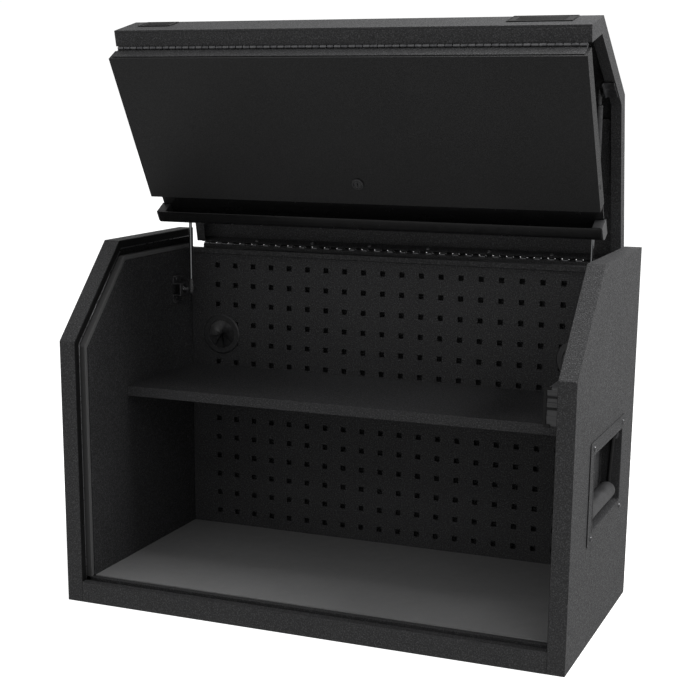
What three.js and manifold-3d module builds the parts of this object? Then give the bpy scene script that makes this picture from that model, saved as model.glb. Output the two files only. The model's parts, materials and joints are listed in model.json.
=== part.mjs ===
// A steel tool chest with a pegboard back. Its lid is hinged at the rear on two gas struts, and
// carries a drop front that folds back under it. The front has a full-width pull and a key lock.
// Millimetres, +Z up, the front faces -Y, and the origin is the middle of the base.
import * as THREE from 'three';
import { mergeGeometries, mergeVertices } from 'three/addons/utils/BufferGeometryUtils.js';
import Module from 'manifold-3d';

const wasm = await Module();
wasm.setup();

// ---- driving dimensions ----------------------------------------------------------------------

// Case, measured from its front plane, its base and its outer sides
const WIDTH = 908;
const DEPTH = 446;
const HEIGHT = 631;
const SLANT = 160; // the 45 degree slant takes this much off the height and the depth
const SHEET = 1.2;
const GAP = 0.3; // between fixed pieces that touch
const SLIP = 0.6; // between pieces that slide or turn in each other
const FLANGE = 29.4; // width of the side panels' edges
const LIP = 15; // return lip at the inner end of a flange
const BASE_FLANGE = 37.3; // height of the base pan's front
const DECK_TOP = 38.3;
const DECK_FRONT = 28.5;
const INNER_FACE = 34.5; // inner side panels' faces, from the outer sides
const INNER_DEPTH = 37; // inner side panels' edges, in from the case's profile
const INNER_FLANGE = 14.5;
const LINER = 2;
const LINER_FRONT = 38;
const LINER_MARGIN = 1;
const SEAL_WIDTH = 12;
const SEAL_DEPTH = 28.3; // the seals' outer faces, in from the case's profile

// Rear wall, pegboard and shelf
const PEG_PLANE = DEPTH - 18.6; // the pegboard's front face
const REAR_TOP = HEIGHT - 37;
const RAIL_FACE = 9.5; // front face of the rear wall's top rail
const PEG_PITCH = 38.1;
const PEG_HOLE = 10;
const PEG_SIDE = 47; // least distance from a hole's centre to an inner side panel
const PEG_LOW = 20; // and to the floor
const PEG_TOP_ROW = REAR_TOP - 31.9;
const SHELF_FRONT = 167;
const SHELF_TOP = HEIGHT - 266.4;
const SHELF_EDGE = 18;
const SHELF_RETURN = 10;

// Cable grommets in the pegboard
const GROMMET_FROM_SIDE = 100;
const GROMMET_Z = SHELF_TOP + 62.4;
const GROMMET_RADIUS = 38.7;
const GROMMET_BORE = 27.5;
const GROMMET_WALL = 2.2;
const GROMMET_RIM = 3;
const GROMMET_EDGE = 2; // chamfer
const GROMMET_NECK = 8;
const STAR_POINTS = 8;
const STAR_SLIT = 0.7;
const STAR_SHEET = 1.6;
const STAR_RING = 4; // uncut ring round the slits
const STAR_TURN = 0.2; // radians

// Recessed side handles
const CUP_Y = DEPTH / 2 + 18;
const CUP_Z = 265;
const CUP_LENGTH = 206;
const CUP_HEIGHT = 129;
const CUP_DEPTH = 33;
const CUP_PLATE = 1.5;
const CUP_FRAME_Y = 28;
const CUP_FRAME_Z = 22;
const CUP_PLATE_CORNER = 7;
const CUP_CORNER = 5;
const BAIL_RADIUS = 4;
const BAIL_ARM = 95;
const BAIL_INSET = 9; // arms, in from the cup's ends
const BAIL_PIVOT_IN = 11;
const BAIL_PIVOT_DROP = 12.5; // pivot, below the cup's top
const BOSS_RADIUS = 8.5;
const BOSS_DEPTH = 4;
const GRIP_RADIUS = 15;
const GRIP_CLEAR = 0.9;
const GRIP_END = 1; // between the grip and the bail's bends

// Power strip on the right inner side
const STRIP_FRONT = DEPTH - 312;
const STRIP_LENGTH = 230;
const STRIP_Z = SHELF_TOP + 35.4;
const STRIP_HEIGHT = 64;
const STRIP_REACH = 48;
const STRIP_CORNER = 8;
const STRIP_FACE = 3;
const STRIP_MARGIN = 6; // the outlet face's ends, in from the case's
const STRIP_OUTLETS = 4;
const OUTLET_WIDTH = 34;
const OUTLET_HEIGHT = 40;

// Lid
const LID_SIDE = 36.4; // lid and front, in from the case's outer sides
const LID_RECESS = 2; // lid and front faces, in from the case's profile
const LID_THICK = 27;
const LID_RETURN = 18;
const FASCIA = 79.5;
const LID_OPEN = 77.7; // degrees
const STIFFENER_START = 40; // behind the lid's slant
const STIFFENER_WIDTH = 120;
const STIFFENER_DEPTH = 12;
const BADGE_SHEET = 1.2;
const BADGE_RISE = 52.5; // the badges' middles, above the fascia's lower edge
const BADGES = {
  left: { fromSide: 65, long: 62, tall: 36 },
  right: { fromSide: 74, long: 106, tall: 46 },
};

// Piano hinges
const REAR_AXIS_Z = REAR_TOP + 7;
const REAR_CLEAR = 0.5; // between the knuckles and the case's rear
const REAR_KNUCKLE = 3.7;
const REAR_HINGE_HALF = 402;
const REAR_LEAF = 23;
const FRONT_KNUCKLE = 3.2;
const FRONT_CLEAR = 2.5; // the front hinge's axis, behind the lid's and the front's edges
const FRONT_LEAF = 22;
const FRONT_HINGE_HALF = 412;
const LEAF_SHEET = 1.2;
const KNUCKLE_PITCH = 50.8;
const KNUCKLE_GAP = 0.5;
const PIN_RADIUS = 1.4;

// Drop front with its pull
const FRONT_GAP = 2 * (FRONT_KNUCKLE + GAP); // between the fascia and the front
const FRONT_RETURN = 14;
const FRONT_TUCK = 107.5; // degrees past closed
const PULL_LIP = 34; // the lip's top edge, below the front's lower edge
const PULL_DROP = 63.3; // the pull's underside, below the front's lower edge
const PULL_CLEAR = 1.9; // between the pull and the base pan's front
const PULL_REACH = LID_THICK + 4.8; // the pull's rear, behind the front's face
const PULL_WALL = 2.5;
const PULL_FACE = 2; // the lip's outer surface, behind the front's face
const CURL_DROP = 13;
const CURL_BACK = 16;
const CURL_STEPS = 7;
const PULL_CAP = 3;
const PULL_PLUG = 18; // how far an end cap's plug goes into the pull

// Key lock and its two rods
const LOCK_RISE = 41.5; // above the front's lower edge
const COLLAR_RADIUS = 10.7;
const COLLAR_THICK = 2.5;
const BARREL_RADIUS = 9;
const BARREL_LENGTH = 22;
const PLUG_RADIUS = 6.5;
const KEY_WIDTH = 1.6;
const KEY_HEIGHT = 8;
const KEY_DEPTH = 9;
const CAM_LENGTH = 28;
const CAM_WIDTH = 12;
const CAM_SHEET = 1.6;
const ROD_HEIGHT = 8;
const ROD_SHEET = 3;
const ROD_DEPTH = 9; // the rods' outer runs, behind the front's face
const ROD_CRANK = 70; // where the rods step back, from the middle
const ROD_START = 16;
const GUIDE_X = 260;
const GUIDE_WIDTH = 20;
const GUIDE_WALL = 5; // above and below a rod
const GUIDE_FOOT = 6;
const GUIDE_SHEET = 2;

// Gas struts, in a plane of their own at each side
const STRUT_SIDE = 68;
const STUD_LOW = [DEPTH - 83, HEIGHT - 110];
const STUD_LID_Y = 147;
const STUD_LID_DEPTH = LID_RECESS + LID_THICK + 1.5; // in from the case's slant
const STUD_RADIUS = 4;
const BRACKET_FACE = 52;
const BRACKET_WIDTH = 30;
const BRACKET_RISE = 24;
const BRACKET_TALL = 48;
const BRACKET_SHEET = 2;
const LID_BRACKET = [-22, 8]; // the lid's bracket, before and behind its stud
const FITTING_RADIUS = 6;
const FITTING_BELOW = 8;
const FITTING_ABOVE = 20;
const ROD_RADIUS = 3;
const ROD_TOP = 194;
const CYLINDER_RADIUS = 7.5;
const CYLINDER_BORE = 4.2;
const CYLINDER_END = 4; // solid metal above the bore
const STRUT_MARGIN = 5; // between the fittings when the strut is shut

// ---- derived dimensions ----------------------------------------------------------------------

const HALF = WIDTH / 2;
const FRONT_HEIGHT = HEIGHT - SLANT;
const LID_HALF = HALF - LID_SIDE;
const LID_LOW = FRONT_HEIGHT - FASCIA;
const FRONT_TOP = LID_LOW - FRONT_GAP;
const REAR_AXIS = [DEPTH + REAR_KNUCKLE + REAR_CLEAR, REAR_AXIS_Z];
const FRONT_AXIS = [LID_RECESS + LID_THICK + FRONT_CLEAR, LID_LOW - FRONT_GAP / 2];
const FRONT_FACE = FRONT_TOP - BASE_FLANGE - PULL_CLEAR - PULL_DROP;
const PULL_TOP = FRONT_FACE + PULL_LIP;
const PULL_BOTTOM = FRONT_FACE + PULL_DROP;
const LOCK_Z = FRONT_TOP - FRONT_FACE + LOCK_RISE;
const PEG_COLUMNS = Math.floor((WIDTH - 2 * INNER_FACE - 2 * PEG_SIDE) / PEG_PITCH) + 1;
const PEG_ROWS = Math.floor((PEG_TOP_ROW - DECK_TOP - PEG_LOW) / PEG_PITCH) + 1;
const ROD_Y = LID_RECESS + ROD_DEPTH;
const CUP_TOP = CUP_Z + CUP_HEIGHT / 2;

// Sides of round pieces, by size
const PIN = 8;
const SMALL = 16;
const ROUND = 24;
const LARGE = 32;
const CORNER_STEPS = 4;

// ---- solids ----------------------------------------------------------------------------------

function toSolid(geometry) {
  const bare = geometry.clone();
  bare.deleteAttribute('normal');
  bare.deleteAttribute('uv');
  const merged = mergeVertices(bare, 1e-4);
  return new wasm.Manifold(new wasm.Mesh({
    numProp: 3,
    vertProperties: new Float32Array(merged.attributes.position.array),
    triVerts: new Uint32Array(merged.index.array),
  }));
}

function toGeometry(solid) {
  const { vertProperties, triVerts } = solid.getMesh();
  const geometry = new THREE.BufferGeometry();
  geometry.setAttribute('position', new THREE.BufferAttribute(vertProperties, 3));
  geometry.setIndex(new THREE.BufferAttribute(triVerts, 1));
  geometry.computeVertexNormals();
  return geometry;
}

const join = (first, ...others) => others.reduce((all, one) => all.add(one), first);
const cut = (first, ...tools) => tools.reduce((rest, tool) => rest.subtract(tool), first);
const span = (a, b) => [Math.min(a, b), Math.max(a, b)];
const about = (middle, size) => [middle - size / 2, middle + size / 2];

// The x span between two distances in from the outer face of the side -1 (left) or 1 (right)
const across = (side, a, b) => span(side * (HALF - a), side * (HALF - b));

function block([x0, x1], [y0, y1], [z0, z1]) {
  const geometry = new THREE.BoxGeometry(x1 - x0, y1 - y0, z1 - z0);
  geometry.translate((x0 + x1) / 2, (y0 + y1) / 2, (z0 + z1) / 2);
  return toSolid(geometry);
}

function extrude(outline, depth) {
  const shape = new THREE.Shape(outline.map(([a, b]) => new THREE.Vector2(a, b)));
  return new THREE.ExtrudeGeometry(shape, { depth, bevelEnabled: false });
}

// An outline in (y, z), extruded along X
function prismX(outline, [x0, x1]) {
  const geometry = extrude(outline, x1 - x0);
  const yzx = new THREE.Matrix4().makeBasis(
    new THREE.Vector3(0, 1, 0),
    new THREE.Vector3(0, 0, 1),
    new THREE.Vector3(1, 0, 0),
  );
  geometry.applyMatrix4(yzx);
  geometry.translate(x0, 0, 0);
  return toSolid(geometry);
}

// An outline in (x, z), extruded along Y
function prismY(outline, [y0, y1]) {
  const geometry = extrude(outline, y1 - y0);
  geometry.rotateX(Math.PI / 2);
  geometry.translate(0, y1, 0);
  return toSolid(geometry);
}

// An outline in (x, y), extruded along Z
function prismZ(outline, [z0, z1]) {
  const geometry = extrude(outline, z1 - z0);
  geometry.translate(0, 0, z0);
  return toSolid(geometry);
}

// A round bar along one axis, between two values on that axis, at a point on the other two
function bar(axis, radius, [from, to], [a, b], sides = SMALL) {
  const geometry = new THREE.CylinderGeometry(radius, radius, to - from, sides);
  const middle = (from + to) / 2;
  if (axis === 'x') {
    geometry.rotateZ(Math.PI / 2);
    geometry.translate(middle, a, b);
  } else if (axis === 'y') {
    geometry.translate(a, middle, b);
  } else {
    geometry.rotateX(Math.PI / 2);
    geometry.translate(a, b, middle);
  }
  return toSolid(geometry);
}

// ---- outlines --------------------------------------------------------------------------------

// A rectangle with rounded corners, counter-clockwise
function rounded([a0, a1], [b0, b1], radius) {
  const corners = [[a1 - radius, b0 + radius], [a1 - radius, b1 - radius]];
  corners.push([a0 + radius, b1 - radius], [a0 + radius, b0 + radius]);
  return corners.flatMap(([a, b], corner) => {
    const points = [];
    for (let i = 0; i <= CORNER_STEPS; i += 1) {
      const angle = ((corner - 1 + i / CORNER_STEPS) * Math.PI) / 2;
      points.push([a + radius * Math.cos(angle), b + radius * Math.sin(angle)]);
    }
    return points;
  });
}

// Moves each edge of a counter-clockwise outline inwards, by one distance or one for each edge
function inset(outline, distance) {
  const count = outline.length;
  const lines = outline.map(([a0, b0], i) => {
    const [a1, b1] = outline[(i + 1) % count];
    const length = Math.hypot(a1 - a0, b1 - b0);
    const along = [(a1 - a0) / length, (b1 - b0) / length];
    const move = Array.isArray(distance) ? distance[i] : distance;
    return { at: [a0 - along[1] * move, b0 + along[0] * move], along };
  });
  return lines.map((line, i) => {
    const before = lines[(i + count - 1) % count];
    const turn = before.along[0] * line.along[1] - before.along[1] * line.along[0];
    const [da, db] = [line.at[0] - before.at[0], line.at[1] - before.at[1]];
    const reach = (da * line.along[1] - db * line.along[0]) / turn;
    return [before.at[0] + before.along[0] * reach, before.at[1] + before.along[1] * reach];
  });
}

// The case seen from its side: base, back, top, slant and front edges, in that order
const PROFILE = [[0, 0], [DEPTH, 0], [DEPTH, HEIGHT], [SLANT, HEIGHT], [0, FRONT_HEIGHT]];

// The band between two depths inside the profile, round the front, the slant and the top
function band(outer, inner, low, rear) {
  const outside = inset(PROFILE, [0, 0, outer, outer, outer]);
  const inside = inset(PROFILE, [0, 0, inner, inner, inner]);
  return [
    [inner, low],
    inside[4],
    inside[3],
    [rear, HEIGHT - inner],
    [rear, HEIGHT - outer],
    outside[3],
    outside[4],
    [outer, low],
  ];
}

// A point in (y, z), turned about another by an angle in degrees, from +Y towards +Z
function turned([y, z], [cy, cz], degrees) {
  const angle = THREE.MathUtils.degToRad(degrees);
  const [dy, dz] = [y - cy, z - cz];
  return [
    cy + dy * Math.cos(angle) - dz * Math.sin(angle),
    cz + dy * Math.sin(angle) + dz * Math.cos(angle),
  ];
}

// ---- materials and nodes ---------------------------------------------------------------------

const COLOURS = {
  textured: [0x1c1c1e, 0.72, 0.35],
  smooth: [0x161618, 0.45, 0.3],
  gloss: [0x0c0c0d, 0.22, 0.4],
  steel: [0x2a2a2c, 0.35, 0.85],
  bright: [0x9a9c9e, 0.3, 1.0],
  rubber: [0x151515, 0.85, 0.0],
  liner: [0x2b2b2c, 0.8, 0.0],
  foam: [0x3a3a3b, 0.9, 0.0],
  plastic: [0x5a5b5d, 0.5, 0.0],
};

function add(group, name, solid, look) {
  const [color, roughness, metalness] = COLOURS[look];
  const material = new THREE.MeshStandardMaterial({ color, roughness, metalness });
  const mesh = new THREE.Mesh(toGeometry(solid), material);
  mesh.name = name;
  group.add(mesh);
}

// A group whose contents are drawn in its parent's frame and then turned about a pivot
function turnedGroup(parent, [y, z], degrees) {
  const pivot = new THREE.Group();
  pivot.position.set(0, y, z);
  pivot.rotation.x = THREE.MathUtils.degToRad(degrees);
  const contents = new THREE.Group();
  contents.position.set(0, -y, -z);
  pivot.add(contents);
  parent.add(pivot);
  return contents;
}

const SIDES = [[-1, 'left'], [1, 'right']];

// ---- case ------------------------------------------------------------------------------------

const cupSpanY = (grow) => about(CUP_Y, CUP_LENGTH + 2 * grow);
const cupSpanZ = (grow) => about(CUP_Z, CUP_HEIGHT + 2 * grow);

function sidePanel(side) {
  const whole = prismX(PROFILE, across(side, 0, FLANGE));
  const hollow = prismX(inset(PROFILE, SHEET), across(side, SHEET, FLANGE - SHEET));
  const mouth = prismX(inset(PROFILE, LIP), across(side, FLANGE - 2 * SHEET, FLANGE + 1));
  const cupHole = block(across(side, -1, 2 * SHEET), cupSpanY(SHEET + GAP), cupSpanZ(SHEET + GAP));
  const strike = block(
    across(side, FLANGE - 2 * SHEET, FLANGE + 1),
    about(ROD_Y, ROD_SHEET + 2 * SLIP),
    about(LOCK_Z, ROD_HEIGHT + 2 * SLIP),
  );
  return cut(whole, hollow, mouth, cupHole, strike);
}

function innerSide(side) {
  const rear = DEPTH - PEG_PLANE + SHEET + GAP;
  const depths = [DECK_TOP + GAP, rear, INNER_DEPTH, INNER_DEPTH, INNER_DEPTH];
  const outline = inset(PROFILE, depths);
  const outer = INNER_FACE - INNER_FLANGE;
  const whole = prismX(outline, across(side, outer, INNER_FACE));
  const hollow = prismX(inset(outline, SHEET), across(side, outer - 1, INNER_FACE - SHEET));
  return cut(whole, hollow);
}

function edgeSeal(side) {
  const outline = band(SEAL_DEPTH, INNER_DEPTH - GAP, DECK_TOP + GAP, PEG_PLANE - SHEET - GAP);
  const near = INNER_FACE - INNER_FLANGE + 1;
  return prismX(outline, across(side, near, near + SEAL_WIDTH));
}

const betweenFlanges = span(FLANGE + GAP - HALF, HALF - FLANGE - GAP);

function backCover() {
  const railFront = PEG_PLANE - SHEET;
  const cableHoles = SIDES.map(([hand]) => {
    const centre = [hand * (HALF - GROMMET_FROM_SIDE), GROMMET_Z];
    return bar('y', GROMMET_BORE, [DEPTH - 2 * SHEET, DEPTH + 1], centre, ROUND);
  });
  const sheet = prismX([
    [DEPTH - SHEET, 0],
    [DEPTH, 0],
    [DEPTH, REAR_TOP],
    [railFront, REAR_TOP],
    [railFront, REAR_TOP - RAIL_FACE],
    [railFront + SHEET, REAR_TOP - RAIL_FACE],
    [railFront + SHEET, REAR_TOP - SHEET],
    [DEPTH - SHEET, REAR_TOP - SHEET],
  ], betweenFlanges);
  return cut(sheet, ...cableHoles);
}

function basePan() {
  const rear = DEPTH - SHEET - GAP;
  return prismX([
    [0, 0],
    [rear, 0],
    [rear, SHEET],
    [SHEET, SHEET],
    [SHEET, BASE_FLANGE - SHEET],
    [LIP, BASE_FLANGE - SHEET],
    [LIP, BASE_FLANGE],
    [0, BASE_FLANGE],
  ], betweenFlanges);
}

function floorDeck() {
  const rear = DEPTH - SHEET - GAP;
  return prismX([
    [DECK_FRONT, SHEET + GAP],
    [DECK_FRONT + SHEET, SHEET + GAP],
    [DECK_FRONT + SHEET, DECK_TOP - SHEET],
    [rear, DECK_TOP - SHEET],
    [rear, DECK_TOP],
    [DECK_FRONT, DECK_TOP],
  ], betweenFlanges);
}

function floorLiner() {
  const side = HALF - INNER_FACE - LINER_MARGIN;
  const under = DECK_TOP + GAP;
  return block([-side, side], [LINER_FRONT, PEG_PLANE - LINER_MARGIN], [under, under + LINER]);
}

// All of the pegboard's square holes as one cutting tool
function pegHoles() {
  const holes = [];
  const clear = GROMMET_RADIUS - PEG_HOLE / 2;
  for (let column = 0; column < PEG_COLUMNS; column += 1) {
    for (let row = 0; row < PEG_ROWS; row += 1) {
      const x = (column - (PEG_COLUMNS - 1) / 2) * PEG_PITCH;
      const z = PEG_TOP_ROW - row * PEG_PITCH;
      const fromGrommet = Math.hypot(HALF - GROMMET_FROM_SIDE - Math.abs(x), z - GROMMET_Z);
      if (fromGrommet > clear) {
        const hole = new THREE.BoxGeometry(PEG_HOLE, 3 * SHEET, PEG_HOLE);
        hole.translate(x, PEG_PLANE + SHEET / 2, z);
        holes.push(hole);
      }
    }
  }
  return toSolid(mergeGeometries(holes));
}

function pegPanel() {
  const side = HALF - INNER_FACE - GAP;
  const height = [DECK_TOP + GAP, REAR_TOP - RAIL_FACE - SLIP];
  const plate = block([-side, side], [PEG_PLANE, PEG_PLANE + SHEET], height);
  const necks = SIDES.map(([hand]) => {
    const centre = [hand * (HALF - GROMMET_FROM_SIDE), GROMMET_Z];
    const radius = GROMMET_BORE + GROMMET_WALL + GAP;
    return bar('y', radius, [PEG_PLANE - 1, PEG_PLANE + SHEET + 1], centre, LARGE);
  });
  return cut(plate, pegHoles(), ...necks);
}

function shelf() {
  const side = HALF - INNER_FACE - GAP;
  const rear = PEG_PLANE - GAP;
  const low = SHELF_TOP - SHELF_EDGE;
  const whole = block([-side, side], [SHELF_FRONT, rear], [low, SHELF_TOP]);
  const hollow = block(
    [SHEET - side, side - SHEET],
    [SHELF_FRONT + SHEET, rear - SHEET],
    [low + SHEET, SHELF_TOP - SHEET],
  );
  const mouth = block(
    [SHEET - side, side - SHEET],
    [SHELF_FRONT + SHELF_RETURN, rear - SHEET],
    [low - 1, SHELF_TOP - 2 * SHEET],
  );
  return cut(whole, hollow, mouth);
}

function grommet(side) {
  const wall = GROMMET_BORE + GROMMET_WALL;
  const profile = [
    [GROMMET_BORE, -GAP - GROMMET_RIM],
    [GROMMET_RADIUS - GROMMET_EDGE, -GAP - GROMMET_RIM],
    [GROMMET_RADIUS, GROMMET_EDGE - GAP - GROMMET_RIM],
    [GROMMET_RADIUS, -GAP],
    [wall, -GAP],
    [wall, GROMMET_NECK],
    [GROMMET_BORE, GROMMET_NECK],
    [GROMMET_BORE, -GAP - GROMMET_RIM],
  ];
  const geometry = new THREE.LatheGeometry(profile.map(([r, y]) => new THREE.Vector2(r, y)), LARGE);
  geometry.translate(side * (HALF - GROMMET_FROM_SIDE), PEG_PLANE, GROMMET_Z);
  return toSolid(geometry);
}

function grommetStar(side) {
  const centre = [side * (HALF - GROMMET_FROM_SIDE), GROMMET_Z];
  const [y0, y1] = [PEG_PLANE, PEG_PLANE + STAR_SHEET];
  const disc = bar('y', GROMMET_BORE - GAP, [y0, y1], centre, LARGE);
  const slits = [];
  for (let i = 0; i < STAR_POINTS / 2; i += 1) {
    const reach = 2 * (GROMMET_BORE - STAR_RING);
    const slit = new THREE.BoxGeometry(reach, 2 * STAR_SHEET, STAR_SLIT);
    slit.rotateY((i * 2 * Math.PI) / STAR_POINTS + STAR_TURN);
    slit.translate(centre[0], (y0 + y1) / 2, centre[1]);
    slits.push(toSolid(slit));
  }
  return cut(disc, ...slits);
}

// ---- recessed handles ------------------------------------------------------------------------

function handleCup(side) {
  const edge = rounded(cupSpanY(CUP_FRAME_Y), cupSpanZ(CUP_FRAME_Z), CUP_PLATE_CORNER);
  const plate = prismX(edge, across(side, -GAP - CUP_PLATE, -GAP));
  const outside = rounded(cupSpanY(SHEET), cupSpanZ(SHEET), CUP_CORNER + SHEET);
  const shell = prismX(outside, across(side, -GAP - 0.5, CUP_DEPTH));
  const inside = rounded(cupSpanY(0), cupSpanZ(0), CUP_CORNER);
  const hollow = prismX(inside, across(side, -CUP_DEPTH, CUP_DEPTH - SHEET));
  const pivot = [side * (HALF - BAIL_PIVOT_IN), CUP_TOP - BAIL_PIVOT_DROP];
  const [y0, y1] = cupSpanY(0);
  const bosses = [[y0 - SHEET / 2, y0 + BOSS_DEPTH], [y1 - BOSS_DEPTH, y1 + SHEET / 2]];
  const walls = bosses.map((length) => bar('y', BOSS_RADIUS, length, pivot));
  const bore = bar('y', BAIL_RADIUS + SLIP, [y0 - CUP_CORNER, y1 + CUP_CORNER], pivot);
  return cut(join(cut(join(plate, shell), hollow), ...walls), bore);
}

// The bail and its grip hang from a pivot at their own origin
function bail() {
  const reach = CUP_LENGTH / 2 - BAIL_INSET;
  const stub = CUP_LENGTH / 2 + SHEET / 2;
  const cross = bar('y', BAIL_RADIUS, [-reach, reach], [0, -BAIL_ARM]);
  const arms = [-reach, reach].map((y) => bar('z', BAIL_RADIUS, [-BAIL_ARM, 0], [0, y]));
  const stubs = [[-stub, -reach], [reach, stub]].map((y) => bar('y', BAIL_RADIUS, y, [0, 0]));
  const corners = [];
  for (const y of [-reach, reach]) {
    for (const z of [0, -BAIL_ARM]) {
      const ball = new THREE.SphereGeometry(BAIL_RADIUS, SMALL, SMALL / 2);
      ball.translate(0, y, z);
      corners.push(toSolid(ball));
    }
  }
  return join(cross, ...arms, ...stubs, ...corners);
}

function grip() {
  const reach = CUP_LENGTH / 2 - BAIL_INSET - BAIL_RADIUS - GRIP_END;
  const tube = bar('y', GRIP_RADIUS, [-reach, reach], [0, -BAIL_ARM], ROUND);
  return cut(tube, bar('y', BAIL_RADIUS + GAP, [-reach - 1, reach + 1], [0, -BAIL_ARM]));
}

function addHandle(parent, side, hand) {
  add(parent, `handle_cup_${hand}`, handleCup(side), 'textured');
  const gripIn = CUP_DEPTH - SHEET - GRIP_CLEAR - GRIP_RADIUS;
  const lean = Math.asin((gripIn - BAIL_PIVOT_IN) / BAIL_ARM);
  const hanging = new THREE.Group();
  hanging.position.set(side * (HALF - BAIL_PIVOT_IN), CUP_Y, CUP_TOP - BAIL_PIVOT_DROP);
  hanging.rotation.y = side * lean;
  parent.add(hanging);
  add(hanging, `bail_${hand}`, bail(), 'steel');
  add(hanging, `grip_${hand}`, grip(), 'rubber');
}

// ---- power strip -----------------------------------------------------------------------------

const stripNear = INNER_FACE + GAP;
const stripFar = stripNear + STRIP_REACH;

function powerStripCase() {
  const [near, far] = [HALF - stripFar, HALF - stripNear];
  const [low, high] = about(STRIP_Z, STRIP_HEIGHT);
  const outline = [
    [near + STRIP_CORNER, low],
    [far, low],
    [far, high],
    [near + STRIP_CORNER, high],
    [near, high - STRIP_CORNER],
    [near, low + STRIP_CORNER],
  ];
  return prismY(outline, [STRIP_FRONT, STRIP_FRONT + STRIP_LENGTH]);
}

function powerStripFace() {
  const length = STRIP_LENGTH - 2 * STRIP_MARGIN;
  const x = across(1, stripFar + GAP, stripFar + GAP + STRIP_FACE);
  const middle = STRIP_FRONT + STRIP_LENGTH / 2;
  const plate = block(x, about(middle, length), about(STRIP_Z, STRIP_HEIGHT - 2 * STRIP_CORNER));
  const recesses = [];
  for (let i = 0; i < STRIP_OUTLETS; i += 1) {
    const y = middle + (i - (STRIP_OUTLETS - 1) / 2) * (length / STRIP_OUTLETS);
    const open = [x[0] - 1, x[0] + STRIP_FACE / 2];
    recesses.push(block(open, about(y, OUTLET_WIDTH), about(STRIP_Z, OUTLET_HEIGHT)));
  }
  return cut(plate, ...recesses);
}

// ---- piano hinges ----------------------------------------------------------------------------

// One leaf: a plate in (y, z), and every second knuckle on a web that reaches the axis
function hingeLeaf(axis, radius, half, first, plate, web) {
  const count = Math.round((2 * half) / KNUCKLE_PITCH);
  const pitch = (2 * half) / count;
  const knuckles = [];
  for (let i = first; i < count; i += 2) {
    const x = [-half + i * pitch + KNUCKLE_GAP / 2, -half + (i + 1) * pitch - KNUCKLE_GAP / 2];
    knuckles.push(join(bar('x', radius, x, axis, PIN), block(x, ...web)));
  }
  const leaf = join(block([-half, half], ...plate), ...knuckles);
  return cut(leaf, bar('x', PIN_RADIUS + GAP, [-half - 1, half + 1], axis, PIN));
}

function rearLeaf(up) {
  const [y, z] = REAR_AXIS;
  const inner = y - REAR_KNUCKLE;
  const thick = [inner, inner + LEAF_SHEET];
  const near = z + up * (REAR_KNUCKLE + KNUCKLE_GAP);
  const plate = [thick, span(near, z + up * REAR_LEAF)];
  const web = [thick, span(z, near + up)];
  return hingeLeaf(REAR_AXIS, REAR_KNUCKLE, REAR_HINGE_HALF, up > 0 ? 0 : 1, plate, web);
}

function frontLeaf(up) {
  const [y, z] = FRONT_AXIS;
  const outer = z + up * FRONT_KNUCKLE;
  const thick = span(outer, outer - up * LEAF_SHEET);
  const near = y - FRONT_KNUCKLE - KNUCKLE_GAP;
  const plate = [[y - FRONT_LEAF - FRONT_KNUCKLE, near], thick];
  const web = [[near - 1, y], thick];
  return hingeLeaf(FRONT_AXIS, FRONT_KNUCKLE, FRONT_HINGE_HALF, up > 0 ? 0 : 1, plate, web);
}

// ---- lid -------------------------------------------------------------------------------------

function lidShell() {
  const [outer, inner] = [LID_RECESS, LID_RECESS + LID_THICK];
  const whole = prismX(band(outer, inner, LID_LOW, DEPTH), [-LID_HALF, LID_HALF]);
  const side = LID_HALF - SHEET;
  const [low, rear] = [LID_LOW + SHEET, DEPTH - SHEET];
  const hollow = prismX(band(outer + SHEET, inner - SHEET, low, rear), [-side, side]);
  const open = LID_HALF - LID_RETURN;
  const mouth = prismX(band(outer + SHEET, inner + 1, low, rear), [-open, open]);
  return cut(whole, hollow, mouth);
}

function lidStiffener() {
  const side = LID_HALF - LID_RETURN - SLIP;
  const top = HEIGHT - LID_RECESS - SHEET - GAP;
  const length = [SLANT + STIFFENER_START, SLANT + STIFFENER_START + STIFFENER_WIDTH];
  const whole = block([-side, side], length, [top - STIFFENER_DEPTH, top]);
  const hollow = block(
    [SHEET - side, side - SHEET],
    [length[0] + SHEET, length[1] - SHEET],
    [top - STIFFENER_DEPTH + SHEET, top + 1],
  );
  return cut(whole, hollow);
}

const studEnd = STRUT_SIDE - FITTING_RADIUS - GAP;
const studLid = [
  STUD_LID_Y,
  FRONT_HEIGHT + STUD_LID_Y - STUD_LID_DEPTH * Math.SQRT2,
];

function lidStrutBracket(side) {
  const plate = LID_SIDE + LID_RETURN;
  const flange = LID_RECESS + LID_THICK + GAP;
  const deep = STUD_LID_DEPTH + 2 * STUD_RADIUS;
  const foot = band(flange, flange + BRACKET_SHEET, 0, DEPTH);
  const web = band(flange, deep, 0, DEPTH);
  const reach = LID_BRACKET.map((along) => STUD_LID_Y + along);
  const window = block(across(side, 0, 2 * STRUT_SIDE), reach, [0, HEIGHT]);
  const webEnd = plate + 1 + BRACKET_SHEET;
  const footSolid = prismX(foot, across(side, LID_SIDE + 2, webEnd));
  const webSolid = prismX(web, across(side, plate + 1, webEnd));
  const stud = bar('x', STUD_RADIUS, across(side, plate + 2, studEnd), studLid);
  return join(footSolid.add(webSolid).intersect(window), stud);
}

function badge(side, hand) {
  const { fromSide, long, tall } = BADGES[hand];
  const face = LID_RECESS - GAP;
  const x = across(side, fromSide, fromSide + long);
  return block(x, [face - BADGE_SHEET, face], about(LID_LOW + BADGE_RISE, tall));
}

// ---- drop front ------------------------------------------------------------------------------

const frontRear = LID_RECESS + LID_THICK;
const frontLow = FRONT_TOP - FRONT_FACE;

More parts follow.
